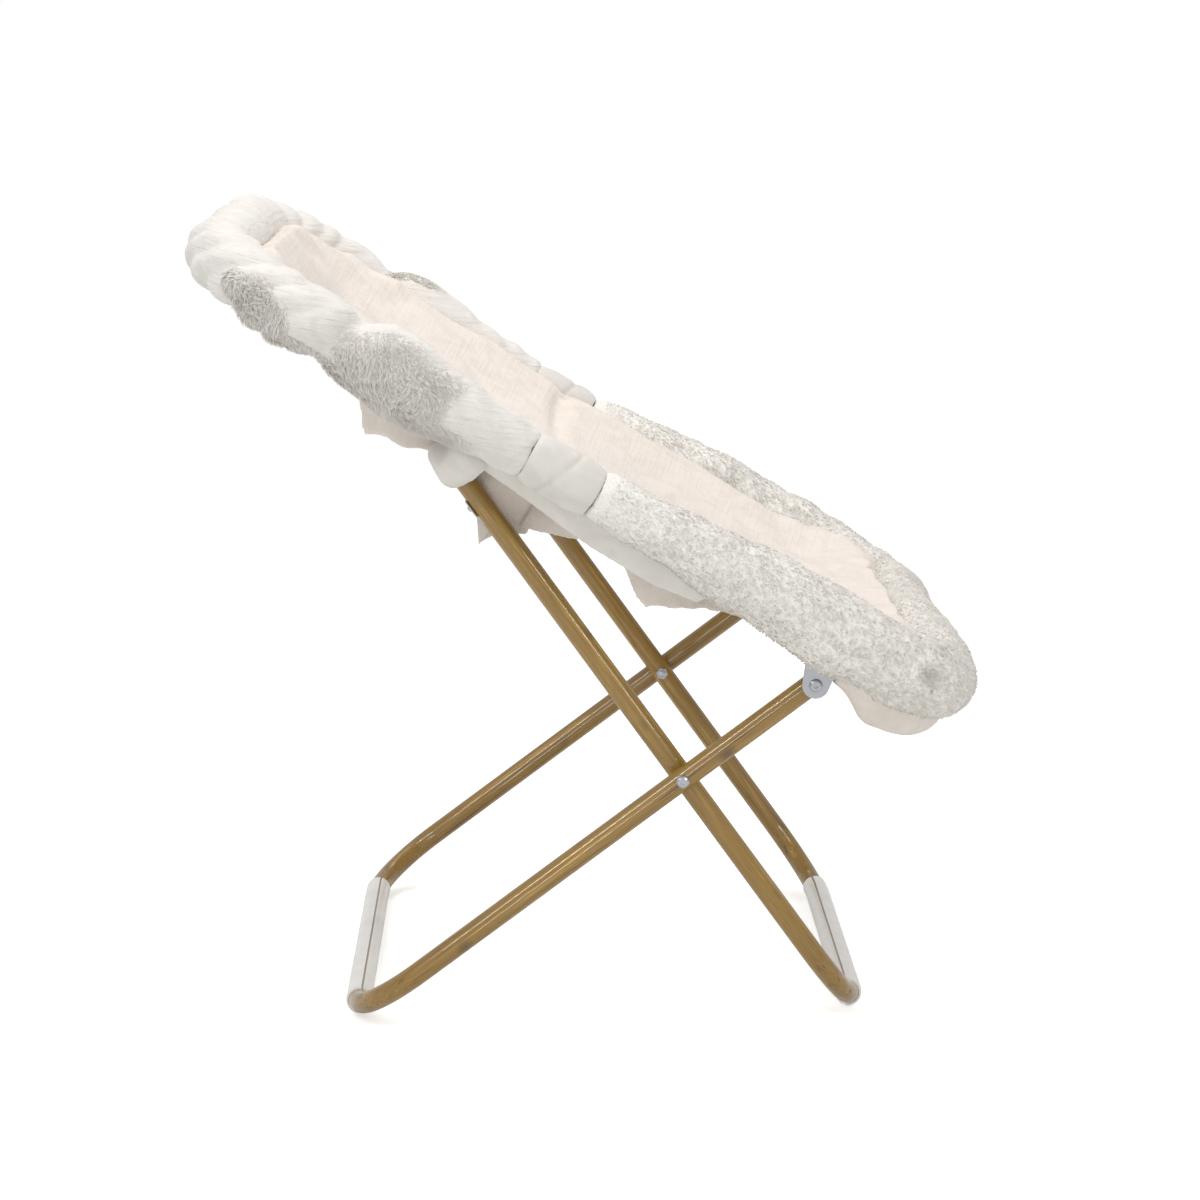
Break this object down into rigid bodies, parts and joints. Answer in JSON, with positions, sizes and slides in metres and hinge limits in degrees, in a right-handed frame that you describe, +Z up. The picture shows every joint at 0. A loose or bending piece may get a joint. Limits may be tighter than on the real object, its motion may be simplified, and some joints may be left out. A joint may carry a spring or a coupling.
{
  "type": "folding_chair",
  "caption": "Folding saucer chair with a wide padded plush seat on a hinged rounded-rectangle rail frame and crossed wood-look tube legs",
  "frame": {"origin": "on the floor under the middle of the whole chair's box", "axes": "+Z up, -Y towards the front of the chair, +X to the left of a person sitting in it"},
  "size_m": [0.834, 0.886, 0.9063],
  "materials": {
    "wood_look_tube": "gloss wood-look coating on steel tube",
    "zinc_steel": "zinc plated",
    "black_plastic": "moulded, slightly satin",
    "white_plastic": "smooth extruded",
    "long_pile_fabric": "fluffy long pile plush",
    "short_pile_fabric": "smooth short pile plush"
  },
  "bodies": {
    "rear_foot_frame": {"rear_leg_tube": "wood_look_tube", "rear_leg_end_fittings": "black_plastic", "rear_floor_sleeve": "white_plastic", "crossing_bolts": "zinc_steel", "crossing_washers": "zinc_steel", "crossing_nuts": "zinc_steel", "front_pivot_bolts": "zinc_steel", "front_pivot_spacers": "black_plastic", "front_pivot_nuts": "zinc_steel"},
    "front_foot_frame": {"front_leg_tube": "wood_look_tube", "front_leg_end_fittings": "black_plastic", "front_floor_sleeve": "white_plastic", "rear_pivot_bolts": "zinc_steel", "rear_pivot_spacers": "black_plastic", "strap_screws": "zinc_steel", "tether_tab_left": "short_pile_fabric", "tether_tab_right": "short_pile_fabric", "leg_sock_left": "short_pile_fabric", "leg_sock_right": "short_pile_fabric"},
    "seat_front": {"seat_rail_front": "wood_look_tube", "front_bracket_left": "zinc_steel", "front_bracket_right": "zinc_steel", "front_hinge_leaf_left": "zinc_steel", "front_hinge_leaf_right": "zinc_steel", "side_hinge_rivets": "zinc_steel", "seat_panel_front": "long_pile_fabric", "rim_roll_front": "long_pile_fabric", "hinge_cover_left": "long_pile_fabric", "hinge_cover_right": "long_pile_fabric", "front_skirt_left": "short_pile_fabric", "front_skirt_right": "short_pile_fabric", "front_side_hem_left": "short_pile_fabric", "front_side_hem_right": "short_pile_fabric", "front_hem": "short_pile_fabric"},
    "seat_rear": {"seat_rail_rear": "wood_look_tube", "rear_bracket_left": "zinc_steel", "rear_bracket_right": "zinc_steel", "rear_hinge_leaf_left": "zinc_steel", "rear_hinge_leaf_right": "zinc_steel", "rear_pivot_nuts": "zinc_steel", "seat_panel_rear": "long_pile_fabric", "rim_roll_rear": "long_pile_fabric", "rear_skirt_left": "short_pile_fabric", "rear_skirt_right": "short_pile_fabric", "rear_side_hem_left": "short_pile_fabric", "rear_side_hem_right": "short_pile_fabric"}
  },
  "joints": [
    {"name": "leg_fold", "type": "hinge", "parent": "rear_foot_frame", "child": "front_foot_frame", "pos_m": [0, -0.10779, 0.289], "axis": [1, 0, 0], "range_deg": [0, 80]},
    {"name": "seat_front_pivot", "type": "hinge", "parent": "rear_foot_frame", "child": "seat_front", "pos_m": [0, -0.25429, 0.39867], "axis": [1, 0, 0], "range_deg": [0, 94.6]},
    {"name": "seat_fold", "type": "hinge", "parent": "seat_front", "child": "seat_rear", "pos_m": [0, 0.02562, 0.63569], "axis": [1, 0, 0], "range_deg": [-133.4, 0], "deforming": ["seat_panel_front", "seat_panel_rear", "rim_roll_front", "rim_roll_rear", "hinge_cover_left", "hinge_cover_right", "front_skirt_left", "front_skirt_right", "rear_skirt_left", "rear_skirt_right", "front_side_hem_left", "front_side_hem_right", "rear_side_hem_left", "rear_side_hem_right", "front_hem"]}
  ],
  "couplings": [
    {"joint": "seat_front_pivot", "follows": "leg_fold", "ratio": 1.18},
    {"joint": "seat_fold", "follows": "leg_fold", "ratio": -1.665}
  ]
}
